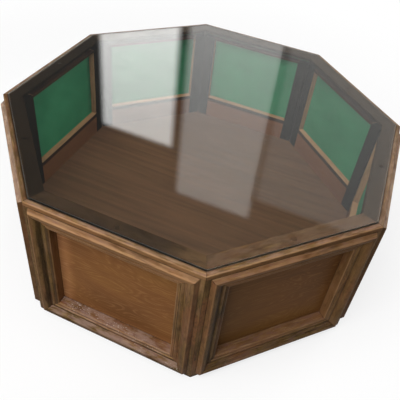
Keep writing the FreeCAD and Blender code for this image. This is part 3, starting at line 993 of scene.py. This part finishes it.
def dress_table():
    """Finish of every node. The numbers are the seeds of the grain."""
    side_finishes = {
        "frame_stiles": stained_wood("stile_wood", True, 1.3, frame_wear, frame_creases),
        "frame_rails": stained_wood("rail_wood", False, 4.1, frame_wear, frame_creases),
        "moulding_rails": stained_wood("moulding_rail_wood", False, 8.7, rail_wear_and_highlights, rail_creases,
                                       rail_redness, rail_paleness, rail_fading_and_sheen),
        "moulding_stiles": stained_wood("moulding_stile_wood", True, 5.9, stile_wear_and_highlights, stile_creases,
                                        stile_redness, stile_paleness),
        "rim_rail": stained_wood("rim_wood_worn", False, 3.3, rim_wear, rim_creases,
                                 rim_redness, rim_paleness, rim_fading_and_sheen, RIM_DUST_AND_SHEEN),
        "panel": veneer(),
    }
    for piece, material in side_finishes.items():
        for side in SIDES:
            paint(piece + "_" + side, material)
    zinc = screw_steel()
    finishes = {
        "batten_rails": batten_wood("batten_rail_wood", False, 2.2),
        "batten_stiles": batten_wood("batten_stile_wood", True, 7.7),
        "base_cleats": plain_wood("bare_softwood", SOFTWOOD, 6.4),
        "corner_blocks": plain_wood("block_painted_shade", BLOCK_SHADE_TONES, 1.7),
        "base_board": plain_wood("board_stain", BOARD_STAIN, 9.2, one_board=True),
        "glass_top": pane_glass(),
        "glass_pads": clear_vinyl(),
        "cleat_screws": zinc,
        "board_screws": zinc,
    }
    for node, material in finishes.items():
        paint(node, material)


def seen_directly(tree):
    """1 for rays from the camera, or mirrored or let through on their way from it."""
    path = add(tree, "LightPath")
    return most(tree, *(path.outputs[f"Is {kind} Ray"] for kind in ("Camera", "Glossy", "Transmission")))


# Surround: the light from all around, and how the ceiling and the floor look
WORLD_LIGHT = 0.10
WORLD_WHITE = (1.0, 1.0, 1.0, 1.0)
CEILING_GREY = 0.09
CEILING_RISE = (0.16, 0.46)
FLOOR_SIZE = 30.0
FLOOR_GREY = (0.28, 0.28, 0.28)
FLOOR_WHITE = (0.93, 0.93, 0.93)
FLOOR_ROUGHNESS = 0.9
FLOOR_GLOW_SHARE = 0.72
SHADOW_FADE = (1.0, 1.9)


def make_world():
    """White surround under a greyer ceiling to look at, and a weaker light from all around."""
    world = bpy.data.worlds.new("studio")
    bpy.context.scene.world = world
    world.use_nodes = True
    tree = world.node_tree
    background = tree.nodes["Background"]
    rise = split(tree, add(tree, "TexCoord").outputs["Generated"])[2]
    shown = level(tree, step(tree, rise, *CEILING_RISE), 1.0, CEILING_GREY)
    feed(tree, background.inputs["Color"], WORLD_WHITE)
    strength = most(tree, times(tree, seen_directly(tree), shown), WORLD_LIGHT)
    feed(tree, background.inputs["Strength"], strength)


def make_floor():
    """Floor that looks white, keeps the table's shadow and throws little light back."""
    bpy.ops.mesh.primitive_plane_add(size=FLOOR_SIZE)
    floor = bpy.context.object
    floor.name = "studio_floor"
    material, tree, shader = new_material("floor_pale")
    seen = seen_directly(tree)
    feed(tree, shader.inputs["Base Color"], mix(tree, seen, FLOOR_GREY, FLOOR_WHITE))
    feed(tree, shader.inputs["Roughness"], FLOOR_ROUGHNESS)
    feed(tree, shader.inputs["Specular IOR Level"], 0.0)
    distance = add(tree, "VectorMath", operation="LENGTH")
    feed(tree, distance.inputs[0], object_place(tree))
    far_off = step(tree, distance.outputs["Value"], *SHADOW_FADE)
    glow_share = times(tree, seen, level(tree, far_off, FLOOR_GLOW_SHARE, 1.0))
    blend_shaders(tree, glow_share, shader, add(tree, "Emission"))
    floor.data.materials.append(material)


# Soft lights: name, azimuth and elevation in degrees, distance, size and power in watts
SOFTBOXES = (
    ("key_light", -15, 45, 3.2, 2.6, 96),
    ("top_light", -20, 78, 3.0, 1.6, 22),
    ("fill_light", 135, 32, 3.2, 1.8, 40),
)


def add_softbox(name, azimuth, elevation, distance, size, power):
    """Square soft light that faces the table's middle and isn't mirrored in the pane's upper face."""
    turn, rise = math.radians(azimuth), math.radians(elevation)
    back = Vector((math.sin(turn) * math.cos(rise), -math.cos(turn) * math.cos(rise), math.sin(rise)))
    lamp = bpy.data.lights.new(name, "AREA")
    lamp.shape = "SQUARE"
    lamp.size = size
    lamp.energy = power
    holder = bpy.data.objects.new(name, lamp)
    middle = (cad_low + cad_high) / 2
    holder.location = middle + back * distance
    holder.rotation_euler = back.to_track_quat("Z", "Y").to_euler()
    holder.visible_camera = False
    holder.visible_glossy = False
    bpy.context.scene.collection.objects.link(holder)


# Light panels behind the table, which the pane mirrors: name, left, right, top and brightness
BACK_LIGHTS = (
    ("back_light_left", -2.05, -1.15, 2.9, 3.1),
    ("back_light_middle", -1.15, -0.22, 3.5, 1.1),
    ("back_light_right", -0.28, 1.90, 3.2, 0.45),
)
BACK_LIGHT_DISTANCE = 2.6
BACK_LIGHT_BOTTOM = 0.8
BACK_LIGHT_BORDER = 0.10


def add_back_light(name, left, right, top, brightness):
    """Upright light panel behind the table, which fades towards its borders."""
    mesh = bpy.data.meshes.new(name)
    corners = [(left, BACK_LIGHT_BOTTOM), (right, BACK_LIGHT_BOTTOM), (right, top), (left, top)]
    mesh.from_pydata([(x, BACK_LIGHT_DISTANCE, z) for x, z in corners], [], [(0, 1, 2, 3)])
    panel = bpy.data.objects.new(name, mesh)
    material, tree, _ = new_material(name)
    x, _, z = split(tree, object_place(tree))
    strength = brightness
    for place, low, high in ((x, left, right), (z, BACK_LIGHT_BOTTOM, top)):
        strength = times(tree, step(tree, place, low, low + BACK_LIGHT_BORDER), strength)
        strength = times(tree, step(tree, place, high, high - BACK_LIGHT_BORDER), strength)
    glow = add(tree, "Emission")
    feed(tree, glow.inputs["Strength"], strength)
    both = add(tree, "AddShader")
    tree.links.new(glow.outputs[0], both.inputs[0])
    tree.links.new(add(tree, "BsdfTransparent").outputs[0], both.inputs[1])
    surface(tree, both)
    mesh.materials.append(material)
    panel.visible_camera = False
    bpy.context.scene.collection.objects.link(panel)


def make_camera():
    """Camera at the photograph's angle."""
    lens = bpy.data.cameras.new("camera")
    lens.lens = CAMERA_LENS
    lens.sensor_width = CAMERA_SENSOR
    lens.shift_x = (IMAGE_PIXELS / 2 - AIM_PIXEL[0]) / IMAGE_PIXELS
    lens.shift_y = (AIM_PIXEL[1] - IMAGE_PIXELS / 2) / IMAGE_PIXELS
    camera = bpy.data.objects.new("camera", lens)
    look = (CAMERA_AIM - CAMERA_PLACE).to_track_quat("-Z", "Y").to_matrix().to_4x4()
    roll = Matrix.Rotation(CAMERA_ROLL, 4, "Z")
    camera.matrix_world = Matrix.Translation(CAMERA_PLACE) @ look @ roll
    bpy.context.scene.collection.objects.link(camera)
    bpy.context.scene.camera = camera


dress_table()
make_world()
make_floor()
for softbox in SOFTBOXES:
    add_softbox(*softbox)
for back_light in BACK_LIGHTS:
    add_back_light(*back_light)
make_camera()
bpy.context.scene.view_settings.view_transform = "Standard"
